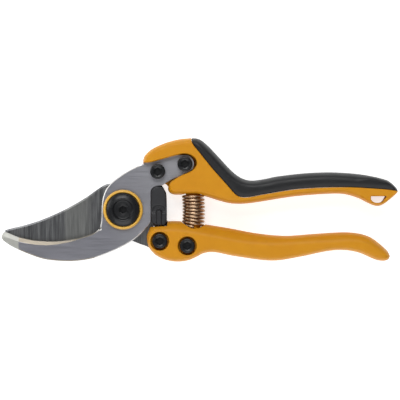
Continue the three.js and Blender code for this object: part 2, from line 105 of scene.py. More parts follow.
def inside(points, outline):
    """True where a ray from the point to the right crosses the closed outline an odd number of times."""
    x, y = points[:, 0, None], points[:, 1, None]
    (x0, y0), (x1, y1) = outline.T, np.roll(outline, -1, axis=0).T
    rise = np.where(y1 == y0, 1, y1 - y0)
    crossed = ((y0 > y) != (y1 > y)) & (x < x0 + (y - y0) * (x1 - x0) / rise)
    return crossed.sum(axis=1) % 2 == 1


def beside(points, line):
    """For each point and piece of the line: how far along the piece it lies, how far off, and its length."""
    step = np.diff(line, axis=0)
    length = np.hypot(*step.T)
    along = step / length[:, None]
    offset = points[:, None, :] - line[:-1]
    return (offset * along).sum(axis=2), offset[..., 0] * along[:, 1] - offset[..., 1] * along[:, 0], length


def in_blocks(measure, points, line):
    """The measure of each point from the line, worked out for 2000 points at a time to spare memory."""
    blocks = np.array_split(points, len(points) // 2000 + 1)
    return np.concatenate([measure(*beside(block, line)) for block in blocks])


def distance(points, line):
    """Distance from each point to the nearest piece of the line: hypotenuse of off and what is past its end."""
    def measure(along, off, length):
        return np.hypot(along - np.clip(along, 0, length), off).min(axis=1)
    return in_blocks(measure, points, line)


def closeness(points, line):
    """Half the integral of ds / r^3 along the line, where r is the distance from the point to the bit ds.

    Beside a straight edge at distance d it is 1 / d^2. Values for several lines add up, and the sum changes
    smoothly everywhere, so a height worked out from it has no crease half way between two edges.
    """
    def measure(along, off, length):
        square, left = off**2 + 1e-6, length - along
        ends = along / np.sqrt(along**2 + square) + left / np.sqrt(left**2 + square)
        return (ends / square).sum(axis=1) / 2
    return in_blocks(measure, points, line)


def sheet(outline, holes=(), creases=(), rows=(), grid=0.8):
    """Flat triangles that fill the outline round its holes.

    Rows of points lie at the given depths on both sides of each outline, hole and crease, and the rest is a
    honeycomb with the given spacing. Delaunay's rule joins them, with the lines kept as edges of triangles.
    """
    lines = [ring(outline), *map(ring, holes), *creases]
    low, high = outline.min(axis=0), outline.max(axis=0)
    row = np.arange(low[1], high[1], grid * 0.866)
    column = np.arange(low[0], high[0], grid)
    honeycomb = np.stack(np.meshgrid(column, row), axis=-1)
    honeycomb[::2, :, 0] += grid / 2
    candidates = [(honeycomb.reshape(-1, 2), (rows[-1] if len(rows) else 0) + grid * 0.55)]
    for line in lines:
        normal = np.gradient(line, axis=0)[:, ::-1] * (-1, 1)
        normal /= np.hypot(*normal.T)[:, None] + 1e-9
        candidates += [(line + side * depth * normal, depth * 0.9) for depth in rows for side in (-1, 1)]
    points = []
    for candidate, clear in candidates:
        candidate = candidate[inside(candidate, outline)]
        for line in lines:
            candidate = candidate[distance(candidate, line) >= clear] if len(candidate) else candidate
        points.append(candidate)
    starts = np.cumsum([0] + [len(line) for line in lines])
    edges = [(int(i), int(i + 1)) for start, end in zip(starts, starts[1:]) for i in range(start, end - 1)]
    placed = np.vstack(lines + points)
    corners, _, triangles, *_ = delaunay_2d_cdt([Vector(p) for p in placed], edges, [], 0, 1e-5)
    corners, triangles = np.array([tuple(corner) for corner in corners]), np.array(triangles)
    middle = corners[triangles].mean(axis=1)
    kept = inside(middle, outline)
    for hole in holes:
        kept &= ~inside(middle, hole)
    triangles = triangles[kept]
    a, b, c = corners[triangles].transpose(1, 0, 2)
    turn = (b - a)[:, 0] * (c - a)[:, 1] - (b - a)[:, 1] * (c - a)[:, 0]
    return corners, np.where((turn > 0)[:, None], triangles, triangles[:, ::-1])


def weld(vertices, triangles):
    """Joins vertices that coincide, drops triangles that this folds flat, and turns the faces outwards.

    They point outwards when the volume under them, a sixth of the sum of a . (b x c), is positive.
    """
    _, first, index = np.unique(np.round(vertices, 4), axis=0, return_index=True, return_inverse=True)
    vertices, triangles = vertices[first], index.reshape(-1)[triangles]
    a, b, c = triangles.T
    triangles = triangles[(a != b) & (b != c) & (c != a)]
    used, triangles = np.unique(triangles, return_inverse=True)
    vertices, triangles = vertices[used], triangles.reshape(-1, 3)
    a, b, c = vertices[triangles].transpose(1, 0, 2)
    return vertices, triangles if (a * np.cross(b, c)).sum() > 0 else triangles[:, ::-1]


def shell(flat, front, back):
    """A closed solid between two heights, given for each (x, y), over the flat triangles of a sheet.

    Where an edge belongs to one triangle only, a wall joins the two surfaces.
    """
    corners, triangles = flat
    count = len(corners)
    vertices = np.vstack([np.column_stack([corners, height]) for height in (front(corners), back(corners))])
    edges = np.vstack([triangles[:, [i, (i + 1) % 3]] for i in range(3)])
    codes = edges[:, 0] * count + edges[:, 1]
    a, b = edges[~np.isin(codes, edges[:, 1] * count + edges[:, 0])].T
    walls = [np.column_stack([b, a, a + count]), np.column_stack([b, a + count, b + count])]
    return weld(vertices, np.vstack([triangles, triangles[:, ::-1] + count, *walls]))


def flat_at(height):
    """A surface for shell that has the same height at every point."""
    return lambda points: np.full(len(points), height)


def make_piece(name, solid, material, sharp=32):
    """A mesh object of the solid, smooth except where faces meet at more than so many degrees."""
    vertices, triangles = solid
    mesh = bpy.data.meshes.new(name)
    mesh.from_pydata(vertices * MM, [], triangles.tolist())
    mesh.shade_smooth()
    mesh.set_sharp_from_angle(angle=np.radians(sharp))
    mesh.materials.append(material)
    piece = bpy.data.objects.new(name, mesh)
    bpy.context.scene.collection.objects.link(piece)
    return piece


def hand_over(piece, body, slot, *nodes):
    """The piece moves with the body and stands for the nodes of the frame. The slot is not used."""
    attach(piece, body)
    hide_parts(*nodes)


def srgb(code):
    """The linear colour of a hex code such as "#d6972a", with an alpha of 1."""
    value = np.array([int(code[i:i + 2], 16) for i in (1, 3, 5)]) / 255
    linear = np.where(value <= 0.04045, value / 12.92, ((value + 0.055) / 1.055) ** 2.4)
    return (*linear.tolist(), 1.0)


def add_node(tree, kind, inputs=None, **settings):
    """Adds a node of the kind; each input takes a value, or a link where it is given another node's socket."""
    node = tree.nodes.new("ShaderNode" + kind)
    for name, value in settings.items():
        setattr(node, name, value)
    for name, value in (inputs or {}).items():
        if isinstance(value, bpy.types.NodeSocket):
            tree.links.new(value, node.inputs[name])
        else:
            node.inputs[name].default_value = value
    return node


def new_material(name):
    """An empty material, its tree, and its Object coordinates turned to millimetres."""
    material = bpy.data.materials.new(name)
    material.use_nodes = True
    tree = material.node_tree
    tree.nodes.clear()
    place = add_node(tree, "TexCoord").outputs["Object"]
    scaled = add_node(tree, "VectorMath", {0: place, "Scale": 1 / MM}, operation="SCALE")
    return material, tree, scaled.outputs[0]


def satin_steel():
    """Tool steel, belt-ground along the plate and satin finished: fine scratches along X, with a soft, slightly
    streaky shine. Its colour is painted lighter along X towards the tang, a painted highlight. Its bevels are
    coloured by their tilt: tinted warm along the hook, and painted bright round the pivot plate, a painted
    highlight. Its tip is ground matt. Grit scratches are 0.05 mm wide; they are drawn 0.5 mm wide, so that they
    show."""
    material, tree, place = new_material("satin_ground_tool_steel")
    drawn = add_node(tree, "Mapping", {"Vector": place, "Scale": (0.05, 1.6, 1.6)}).outputs[0]
    streaks = add_node(tree, "TexNoise", {"Vector": drawn, "Scale": 1.0, "Detail": 4.0, "Roughness": 0.65})
    clouds = add_node(tree, "TexNoise", {"Vector": place, "Scale": 0.07, "Detail": 2.0})
    worn = add_node(tree, "Mix", {0: clouds.outputs["Fac"], 6: srgb("#909098"), 7: srgb("#a6a6ad")},
                    data_type="RGBA")
    along = add_node(tree, "SeparateXYZ", {0: place}).outputs["X"]
    # Painted highlight: the colour turns lighter along X towards the tang, so that the tang looks lit.
    painted_light_to_tang = add_node(tree, "MapRange", {0: along, 1: -8.0, 2: 30.0, 3: 0.0, 4: 0.9}).outputs[0]
    kept = add_node(tree, "Mix", {0: painted_light_to_tang, 6: worn.outputs[2], 7: srgb("#cfcfd1")}, data_type="RGBA")
    colour = add_node(tree, "Mix", {0: streaks.outputs["Fac"], 6: kept.outputs[2], 7: srgb("#94949c")},
                      data_type="RGBA")
    facing = add_node(tree, "SeparateXYZ", {0: add_node(tree, "TexCoord").outputs["Normal"]}).outputs["Z"]
    upright = add_node(tree, "Math", {0: facing}, operation="ABSOLUTE").outputs[0]
    bevelled = add_node(tree, "MapRange", {0: upright, 1: 0.97, 2: 0.93, 3: 0.0, 4: 1.0}).outputs[0]
    # Painted highlight: tilted faces round the pivot plate are coloured bright; along the hook they are only
    # tinted warm.
    plate = add_node(tree, "MapRange", {0: along, 1: -16.0, 2: -13.0, 3: 0.0, 4: 1.0}).outputs[0]
    warm_tint_and_painted_highlight = add_node(tree, "Mix", {0: plate, 6: srgb("#958d80"), 7: srgb("#dddbd8")}, data_type="RGBA")
    warm = add_node(tree, "Mix", {0: bevelled, 6: colour.outputs[2], 7: warm_tint_and_painted_highlight.outputs[2]}, data_type="RGBA")
    tip = add_node(tree, "MapRange", {0: along, 1: -56.1, 2: -56.4, 3: 0.0, 4: 1.0}).outputs[0]
    final = add_node(tree, "Mix", {0: tip, 6: warm.outputs[2], 7: srgb("#b6b6b0")}, data_type="RGBA")
    rough = add_node(tree, "MapRange", {0: streaks.outputs["Fac"], 1: 0.3, 2: 0.7, 3: 0.3, 4: 0.46})
    matt = add_node(tree, "Mix", {0: tip, 2: rough.outputs[0], 3: 0.58}, data_type="FLOAT")
    bump = add_node(tree, "Bump", {"Height": streaks.outputs["Fac"], "Strength": 0.12, "Distance": 0.00003})
    shader = add_node(tree, "BsdfPrincipled", {
        "Base Color": final.outputs[2], "Metallic": 1.0, "Roughness": matt.outputs[0],
        "Normal": bump.outputs[0]})
    add_node(tree, "OutputMaterial", {"Surface": shader.outputs[0]})
    return material


hook_belly = curve([
    (14.6, -6.9), (13.3, -8.7), (9.2, -13.2), (5.1, -16.6), (-1.1, -20.2), (-7.2, -23), (-13.7, -25.4),
    (-20.1, -26.9), (-28.7, -27.7), (-39, -27.1), (-44.9, -25.9), (-52.1, -23.3), (-56.9, -21.2),
    (-60.3, -19.5), (-63, -17.8), (-64.9, -16.3), (-65.5, -14.4), (-64.9, -13)])
hook_concave = curve([
    (-64.3, -12.2), (-63.4, -12.1), (-59.3, -13.8), (-55.7, -15.1), (-47.3, -16.8), (-37.6, -17.2), (-28, -16.3),
    (-18.4, -13.8), (-14.1, -11.6)])
hook_notch = arc(NOTCH, 0.5, 215, 420, 0.2)
hook_back = curve([
    (-12, -7.7), (-11.6, -4.3), (-11.5, 1.3), (-10.7, 6.9), (-8.7, 11.6), (-4.6, 15.9), (2.3, 20.6), (9.2, 24),
    (15.5, 26.5), (22.5, 28.4), (29.5, 29.4)])
hook_tail = arc(UPPER_SCREWS["rear"], 4.95, 95, -55)
hook_rear = curve([
    (31.6, 18.5), (27.9, 17), (24.1, 15.1), (21.3, 13.2), (18, 12.7), (15.7, 11.5), (14.95, 9.8), (14.9, 7),
    (14.9, 2), (14.9, -5.2)])
hook_outline = np.vstack([hook_concave, hook_notch, hook_back, hook_tail, hook_rear, hook_belly])[::-1]
hook_bevel_width = np.interp(hook_concave[:, 0], (-62, -40, -17), (HOOK_BEVEL, 1.9, 0.05))
hook_bevel_line = (hook_concave - np.column_stack([0 * hook_bevel_width, hook_bevel_width]))[4:][
    hook_bevel_width[4:] > HOOK_CHAMFER + 0.2]


def hook_front(points):
    """The plate's top, less the flat at the tip and whichever cuts deepest of three.

    They are the broken edge, the bevel along the concave edge and the notch's countersink. The bevel falls
    evenly over its width, which narrows from the tip to the pivot. The tip's flat falls with the distance
    beyond its line.
    """
    chamfer = np.interp(points[:, 0], TANG_X, (HOOK_CHAMFER, TANG_CHAMFER))
    edge = chamfer - distance(points, ring(hook_outline))
    to_concave = distance(points, hook_concave)
    width = np.interp(points[:, 0], hook_concave[:, 0], hook_bevel_width)
    bevel = HOOK_BEVEL_SLOPE * np.clip(width - to_concave, 0, None)
    _, beyond, _ = beside(points, TIP_FACET)
    tip = TIP_FACET_SLOPE * np.clip(beyond[:, 0], 0, None)
    countersink = NOTCH_RIM - np.hypot(*(points - NOTCH).T)
    return HOOK_HIGH - np.maximum.reduce([np.clip(edge, 0, None), bevel, countersink]) - tip


hook_holes = [circle((0, 0), BUSH_RADIUS + 0.15)]
hook_holes += [circle(centre, SCREW_RADIUS + 0.3, 0.3) for centre in UPPER_SCREWS.values()]
notch_rim = arc(NOTCH, NOTCH_RIM, 250, 415, 0.25)
tip_line = TIP_FACET[0] + np.linspace(0.12, 0.56, 8)[:, None] * np.diff(TIP_FACET, axis=0)
hook_flat = sheet(hook_outline, hook_holes, [hook_bevel_line, tip_line, notch_rim],
                  [TANG_CHAMFER, HOOK_CHAMFER], 1.0)
hook = make_piece("hook_plate", shell(hook_flat, hook_front, flat_at(HOOK_LOW)), satin_steel(), 20)
hand_over(hook, "hook_half", "brushed_steel", "hook_blade")

# ---------------------------------------------------------------- the cutting blade
# A hardened blade, 3.3 mm thick, that slides behind the hook. Its face is ground across its length, which
# leaves upright streaks; the cutting edge is ground from the back. Its tang is screwed into the lower handle.

CUTTER_HIGH = PARTING - 0.1
CUTTER_LOW = CUTTER_HIGH - 3.3
CUTTER_EDGE = 0.35  # thickness left at the sharpened edge
CUTTER_CHAMFER = 0.9
CUTTER_CHAMFER_SLOPE = 0.5
GRIND_END = -5  # X at which the grind has run out
LOWER_SCREWS = {"front": (19.8, -16.9), "rear": (34.6, -19.4)}


def ground_blade_steel():
    """Hardened blade steel with a coarse face grind: dark grey, with upright scratches of uneven depth, and
    lighter in a band from X -32 to -15. The scratches are 0.1 mm wide; they are drawn 0.5 mm wide, so that they
    show."""
    material, tree, place = new_material("face_ground_blade_steel")
    drawn = add_node(tree, "Mapping", {"Vector": place, "Scale": (1.9, 0.05, 0.5)}).outputs[0]
    streaks = add_node(tree, "TexNoise", {"Vector": drawn, "Scale": 1.0, "Detail": 5.0, "Roughness": 0.7})
    wide = add_node(tree, "Mapping", {"Vector": place, "Scale": (0.09, 0.01, 0.05)}).outputs[0]
    bands = add_node(tree, "TexNoise", {"Vector": wide, "Scale": 1.0, "Detail": 2.0})
    dark = add_node(tree, "Mix", {0: bands.outputs["Fac"], 6: srgb("#505153"), 7: srgb("#747577")},
                    data_type="RGBA")
    scratch = add_node(tree, "MapRange", {0: streaks.outputs["Fac"], 1: 0.42, 2: 0.62, 3: 0.0, 4: 0.6})
    streaked = add_node(tree, "Mix", {0: scratch.outputs[0], 6: dark.outputs[2], 7: srgb("#8f9090")},
                        data_type="RGBA")
    along = add_node(tree, "SeparateXYZ", {0: place}).outputs["X"]
    # Lighter in a band from X -32 to -15.
    begins = add_node(tree, "MapRange", {0: along, 1: -32.5, 2: -30.5, 3: 0.0, 4: 0.6},
                      interpolation_type="SMOOTHSTEP")
    ends = add_node(tree, "MapRange", {0: along, 1: -22.0, 2: -15.0, 3: 1.0, 4: 0.0},
                    interpolation_type="SMOOTHSTEP")
    lighter_band = add_node(tree, "Math", {0: begins.outputs[0], 1: ends.outputs[0]}, operation="MULTIPLY").outputs[0]
    colour = add_node(tree, "Mix", {0: lighter_band, 6: streaked.outputs[2], 7: srgb("#939491")}, data_type="RGBA")
    rough = add_node(tree, "MapRange", {0: streaks.outputs["Fac"], 1: 0.3, 2: 0.7, 3: 0.28, 4: 0.46})
    bump = add_node(tree, "Bump", {"Height": streaks.outputs["Fac"], "Strength": 0.3, "Distance": 0.00004})
    shader = add_node(tree, "BsdfPrincipled", {
        "Base Color": colour.outputs[2], "Metallic": 1.0, "Roughness": rough.outputs[0],
        "Normal": bump.outputs[0]})
    add_node(tree, "OutputMaterial", {"Surface": shader.outputs[0]})
    return material


cutter_spine = curve([
    (-64.2, -11.1), (-60.5, -10.1), (-53.3, -8.4), (-46.1, -6.2), (-37.6, -2.8), (-28.8, 1.5), (-20.1, 6.6),
    (-13.7, 11.1), (-9.5, 13.6), (-5, 14.3)])
cutter_edge = curve([
    (-64.2, -11.9), (-63, -12.9), (-59.3, -15), (-52.1, -18), (-42.5, -19.7), (-32.8, -19.7), (-25.3, -18.8),
    (-18.4, -17.4), (-12, -16.2), (-6, -15.9), (0, -16.2), (4.6, -16.9)])
cutter_tang = curve([
    (5.4, -17.1), (9.2, -18.6), (12.6, -19.8), (17, -22), (24, -23.2), (31, -24.1), (37, -24.3), (41, -22.4),
    (42.2, -19.3), (40.4, -16.2), (34.5, -14.6), (27, -13.6), (20, -13.4), (17.2, -12.9), (16.5, -11.2),
    (16.4, -9.4), (15.8, -7.3), (15.3, -5.6), (14.6, -4)])
cutter_heel = arc((0, 0), 14.6, -15, 100)
cutter_outline = np.vstack([cutter_edge, cutter_tang, cutter_heel, cutter_spine[::-1]])
grind_width = np.interp(cutter_edge[:, 0], (-63.5, -59, -52, -42, -33, -25, -18, -12, -6),
                        (0.4, 1.8, 4.2, 6.2, 6.8, 6.6, 5.4, 3, 0.05))
grind_line = (cutter_edge + np.column_stack([0 * grind_width, grind_width]))[2:-16]


def cutter_front(points):
    """The flat face, less the broken edge along the spine."""
    spine = np.clip(CUTTER_CHAMFER - distance(points, cutter_spine), 0, None)
    return CUTTER_HIGH - CUTTER_CHAMFER_SLOPE * spine


def cutter_back(points):
    """The back, raised evenly from the grind's line to the sharp edge, where the blade is thinnest."""
    edge = np.interp(points[:, 0], *cutter_edge.T)
    width = np.interp(points[:, 0], cutter_edge[:, 0], grind_width)
    share = np.clip(1 - (points[:, 1] - edge) / width, 0, 1) * (points[:, 0] < GRIND_END)
    return CUTTER_LOW + share * (CUTTER_HIGH - CUTTER_LOW - CUTTER_EDGE)


cutter_holes = [circle((0, 0), BUSH_RADIUS + 0.15)]
cutter_holes += [circle(centre, SCREW_RADIUS + 0.3, 0.3) for centre in LOWER_SCREWS.values()]
cutter_flat = sheet(cutter_outline, cutter_holes, [grind_line], [CUTTER_CHAMFER], 1.0)
cutter = make_piece(
    "cutting_blade_steel", shell(cutter_flat, cutter_front, cutter_back), ground_blade_steel(), 20)
hand_over(cutter, "cutter_half", "ground_steel", "cutting_blade")

# ---------------------------------------------------------------- the pivot
# A black M8 bolt with a wide dished head turns in a yellow ring and a bronze bush, and is held at the back by
# a toothed nut that sets the blades' play, over a zinc-plated washer.

BOLT_RADIUS = 4
BOLT_HEAD_LOW = 13.8
BOLT_HEAD_HIGH = 17
BOLT_HEAD_RADIUS = 8.9
RING_LOW = 12.9
RING_RADIUS = 10.7
PIVOT_NUT_RADIUS = 8.2
PIVOT_NUT_HIGH = 3.6
SOCKET = 2  # half across the flats of the hexagon sockets

AROUND = np.linspace(0, 2 * np.pi, 120, endpoint=False)
ROUND = np.ones(120)
HEXAGON = 1 / np.cos((AROUND + np.pi / 6) % (np.pi / 3) - np.pi / 6)
TOOTHED = 1 - 0.075 * np.clip(2.2 * np.cos(12 * AROUND) - 1.2, 0, 1)


def rounded(points, radius, pieces=4):
    """The line with each corner replaced by the parabola that touches both sides a radius from the corner."""
    points = np.array(points, float)
    corner = points[1:-1]
    sides = [points[:-2] - corner, points[2:] - corner]
    reach = [np.minimum(radius, 0.45 * np.hypot(*side.T)) / np.hypot(*side.T) for side in sides]
    before, after = (corner + side * share[:, None] for side, share in zip(sides, reach))
    t = np.linspace(0, 1, pieces + 1)[:, None, None]
    bends = (1 - t)**2 * before + 2 * t * (1 - t) * corner + t**2 * after
    return np.vstack([points[:1], bends.transpose(1, 0, 2).reshape(-1, 2), points[-1:]])


def grid_solid(grid):
    """Triangles between neighbouring points of a grid that closes on itself around."""
    across, around = grid.shape[:2]
    i, j = np.meshgrid(np.arange(across - 1), np.arange(around), indexing="ij")
    a, b = i * around + j, i * around + (j + 1) % around
    triangles = np.stack([a, b, b + around, a, b + around, a + around], axis=-1).reshape(-1, 3)
    return weld(grid.reshape(-1, 3), triangles)


def turned(centre, *stretches):
    """A solid turned about a line along Z. Each stretch is an outline factor and its (radius, z) points.

    A point at an angle is the centre plus the radius times the factor at that angle.
    """
    rings = [
        np.stack([centre[0] + radius * factor * np.cos(AROUND), centre[1] + radius * factor * np.sin(AROUND),
                  np.full(len(AROUND), z)], axis=-1)
        for factor, points in stretches for radius, z in points]
    return grid_solid(np.array(rings))


def mottled(name, scale, detail, colours, surface, shine=None, grain=None):
    """A material whose colour is cloudy: noise at so many waves per millimetre mixes the two hex colours.

    The surface holds the shader's uniform inputs. The same noise may move the roughness between the two values
    of the shine, and finer noise may raise a grain: its scale, detail, strength and height in metres.
    """
    material, tree, place = new_material(name)
    clouds = add_node(tree, "TexNoise", {"Vector": place, "Scale": scale, "Detail": detail}).outputs["Fac"]
    colour = add_node(tree, "Mix", {0: clouds, 6: srgb(colours[0]), 7: srgb(colours[1])}, data_type="RGBA")
    inputs = {"Base Color": colour.outputs[2], **surface}
    if shine:
        rough = add_node(tree, "MapRange", {0: clouds, 1: 0.3, 2: 0.7, 3: shine[0], 4: shine[1]})
        inputs["Roughness"] = rough.outputs[0]
    if grain:
        fine = add_node(tree, "TexNoise", {"Vector": place, "Scale": grain[0], "Detail": grain[1]})
        bump = add_node(tree, "Bump", {
            "Height": fine.outputs["Fac"], "Strength": grain[2], "Distance": grain[3]})
        inputs["Normal"] = bump.outputs[0]
    shader = add_node(tree, "BsdfPrincipled", inputs)
    add_node(tree, "OutputMaterial", {"Surface": shader.outputs[0]})
    return material


def sintered_bronze():
    """Oil-filled sintered bronze: brown metal full of pores a few tenths of a millimetre across."""
    material, tree, place = new_material("sintered_bronze")
    pores = add_node(tree, "TexVoronoi", {"Vector": place, "Scale": 3.0})
    colour = add_node(tree, "Mix", {0: pores.outputs["Distance"], 6: srgb("#6e4a26"), 7: srgb("#b98446")},
                      data_type="RGBA")
    bump = add_node(tree, "Bump", {"Height": pores.outputs["Distance"], "Strength": 0.3, "Distance": 0.00005})
    shader = add_node(tree, "BsdfPrincipled", {
        "Base Color": colour.outputs[2], "Metallic": 1.0, "Roughness": 0.45, "Normal": bump.outputs[0]})
    add_node(tree, "OutputMaterial", {"Surface": shader.outputs[0]})
    return material


def zinc_plate():
    """Zinc-plated steel: a bright bluish grey with a fine spangle about a millimetre across."""
    material, tree, place = new_material("zinc_plated_steel")
    spangle = add_node(tree, "TexVoronoi", {"Vector": place, "Scale": 1.1})
    colour = add_node(tree, "Mix", {0: spangle.outputs["Distance"], 6: srgb("#b4b8bd"), 7: srgb("#d0d2d4")},
                      data_type="RGBA")
    rough = add_node(tree, "MapRange", {0: spangle.outputs["Distance"], 1: 0.0, 2: 1.0, 3: 0.28, 4: 0.42})
    shader = add_node(tree, "BsdfPrincipled", {
        "Base Color": colour.outputs[2], "Metallic": 1.0, "Roughness": rough.outputs[0]})
    add_node(tree, "OutputMaterial", {"Surface": shader.outputs[0]})
    return material


# Blackened steel: a thin matt oxide layer, nearly black, with a soft shine and faint mottling on a millimetre
# scale.
black = mottled("black_oxide_steel", 0.9, 4.0, ("#101113", "#1a1b1d"), {"IOR": 1.42}, (0.26, 0.36),
                (6.0, 2.0, 0.15, 0.00003))
# Glossy moulded acetal in golden yellow: an even colour with a satin shine.
acetal = mottled("golden_acetal", 0.3, 3.0, ("#d9a53a", "#e0b04c"), {"Roughness": 0.35, "IOR": 1.48},
                 grain=(0.3, 3.0, 0.05, 0.00005))
zinc = zinc_plate()

bolt_head = rounded([
    (BOLT_RADIUS, BOLT_HEAD_LOW), (BOLT_HEAD_RADIUS, BOLT_HEAD_LOW), (BOLT_HEAD_RADIUS, BOLT_HEAD_HIGH - 1.7),
    (BOLT_HEAD_RADIUS - 0.9, BOLT_HEAD_HIGH - 0.9), (6.3, BOLT_HEAD_HIGH), (5.5, BOLT_HEAD_HIGH - 0.15),
    (4.9, BOLT_HEAD_HIGH - 1.2), (SOCKET + 0.4, BOLT_HEAD_HIGH - 1.2)], 0.5)
bolt = turned(
    (0, 0), (ROUND, [(0, 1.4), (BOLT_RADIUS - 0.4, 1.4), (BOLT_RADIUS, 1.8)]), (ROUND, bolt_head),
    (HEXAGON, [(SOCKET, BOLT_HEAD_HIGH - 1.3), (SOCKET, BOLT_HEAD_LOW - 0.4), (0, BOLT_HEAD_LOW - 0.4)]))
hand_over(make_piece("pivot_bolt_black", bolt, black), "hook_half", "black_steel", "pivot_bolt")

ring_inside = BOLT_HEAD_RADIUS + 0.3
ring_section = [
    (BOLT_RADIUS + 0.3, RING_LOW), *rounded([
        (RING_RADIUS - 1, RING_LOW), (RING_RADIUS, RING_LOW), (RING_RADIUS, RING_LOW + 1.6),
        (RING_RADIUS - 0.7, RING_LOW + 2.3), (ring_inside + 0.25, RING_LOW + 2.3),
        (ring_inside, RING_LOW + 1.9), (ring_inside, RING_LOW + 0.6), (BOLT_RADIUS + 0.3, RING_LOW + 0.6)], 0.35),
    (BOLT_RADIUS + 0.3, RING_LOW)]
golden_ring = make_piece("pivot_ring_golden", turned((0, 0), (ROUND, ring_section)), acetal)
hand_over(golden_ring, "hook_half", "yellow_ring", "pivot_ring")

bush_section = rounded([
    (BOLT_RADIUS + 0.15, CUTTER_LOW + 1), (BOLT_RADIUS + 0.15, CUTTER_LOW), (BUSH_RADIUS, CUTTER_LOW),
    (BUSH_RADIUS, HOOK_HIGH), (BOLT_RADIUS + 0.15, HOOK_HIGH), (BOLT_RADIUS + 0.15, CUTTER_LOW + 1)], 0.3)
bush = make_piece("pivot_bush_bronze", turned((0, 0), (ROUND, bush_section)), sintered_bronze())
hand_over(bush, "hook_half", "bronze", "pivot_bush")

washer_section = rounded([(4.3, 4.4), (4.3, 3.9), (8, 3.9), (8, 4.8), (4.3, 4.8), (4.3, 4.4)], 0.12)
washer = make_piece("pivot_washer_zinc", turned((0, 0), (ROUND, washer_section)), zinc)
hand_over(washer, "hook_half", "zinc_steel", "pivot_washer")

nut_rim = [(PIVOT_NUT_RADIUS - 0.5, 0.05), (PIVOT_NUT_RADIUS, 0.5), (PIVOT_NUT_RADIUS, PIVOT_NUT_HIGH - 0.3),
           (PIVOT_NUT_RADIUS - 0.3, PIVOT_NUT_HIGH)]
pivot_nut = turned(
    (0, 0), (ROUND, [(0, 0), (PIVOT_NUT_RADIUS - 1.4, 0)]), (TOOTHED, nut_rim),
    (ROUND, [(BOLT_RADIUS + 0.7, PIVOT_NUT_HIGH), (BOLT_RADIUS + 0.3, PIVOT_NUT_HIGH - 0.4),
             (BOLT_RADIUS + 0.3, 1.1), (0, 1.1)]))
hand_over(make_piece("pivot_nut_toothed", pivot_nut, black), "hook_half", "black_steel", "pivot_nut")

# ---------------------------------------------------------------- the upper handle
# The body is moulded in glass-filled nylon, with an open mouth in front of the hook's tang and a wall behind
# it; a soft grip is moulded onto its outer side and stands a little proud of it along a fine groove.

HALF_THICKNESS = 8.5
BODY_HALF = 8.1  # the hard body's half thickness; the grip has the full one
SLOT_PLAY = 0.3
BODY_EDGE = 2.3  # width over which the moulded edges are rounded
MOUTH_EDGE = 0.5
GRIP_EDGE = 3.7
GRIP_FALL = 0.9  # how far the grip falls towards the groove, over GRIP_SHOULDER
GRIP_SHOULDER = 3.2
GROOVE = 0.3  # rounding of both sides of the groove between grip and body
MOUTH_FLOOR = HOOK_LOW - SLOT_PLAY
SPRING_X = 37.7
SPRING_TOP = 9.2
SPRING_FOOT = -9.8
SPRING_SEAT_RADIUS = 6.65
SPRING_PEG_RADIUS = 4
NUT_HALF = 3.5


def rim(depth):
    """Height of a rounded edge, from 0 to 1, at a depth from 0 to 1: a quarter of an ellipse."""
    return np.sqrt(1 - (1 - np.clip(depth, 0, 1))**2)


def rim_rows(width, degrees=12):
    """Depths that cut the rounded edge into steps of equal turn."""
    return width * (1 - np.cos(np.radians(np.arange(degrees, 91, degrees))))


def depth_from(near):
    """The smooth depth below the edges, from the sum of their closeness, and exactly 0 on the edge."""
    return np.clip(1 / np.sqrt(near) - 0.0015, 0, None)


def prism(outline, low, high):
    """A straight-sided solid of the outline from one height to another."""
    return shell(sheet(np.array(outline, float), grid=50), flat_at(high), flat_at(low))


def round_the_spring(points):
    """A solid turned about the spring's axis from (radius, y) points: turned about Z, then laid along Y."""
    vertices, triangles = turned((0, 0), (ROUND, points))
    laid = np.column_stack([vertices[:, 0] + SPRING_X, vertices[:, 2], vertices[:, 1] + PARTING])
    return weld(laid, triangles)


def reshape(piece, operation, tools):
    """Cuts the tools from the piece, or joins them to it, in turn, and keeps the result as its mesh."""
    helpers = [make_piece("tool", tool, piece.data.materials[0]) for tool in tools]
    for helper in helpers:
        step = piece.modifiers.new("step", "BOOLEAN")
        step.object, step.operation, step.solver = helper, operation, "MANIFOLD"
    evaluated = piece.evaluated_get(bpy.context.evaluated_depsgraph_get())
    mesh = bpy.data.meshes.new_from_object(evaluated)
    piece.modifiers.clear()
    piece.data = mesh
    mesh.shade_smooth()
    mesh.set_sharp_from_angle(angle=np.radians(32))
    for helper in helpers:
        bpy.data.objects.remove(helper)


def nut_pocket(centre):
    """The hexagon pocket for a nut at the handle's back, with the screw's hole above it."""
    return turned(centre, (HEXAGON, [(0, -1), (NUT_HALF + 0.3, -1), (NUT_HALF + 0.3, 3.7)]),
                  (ROUND, [(SCREW_RADIUS + 0.3, 3.7), (SCREW_RADIUS + 0.3, 18), (0, 18)]))


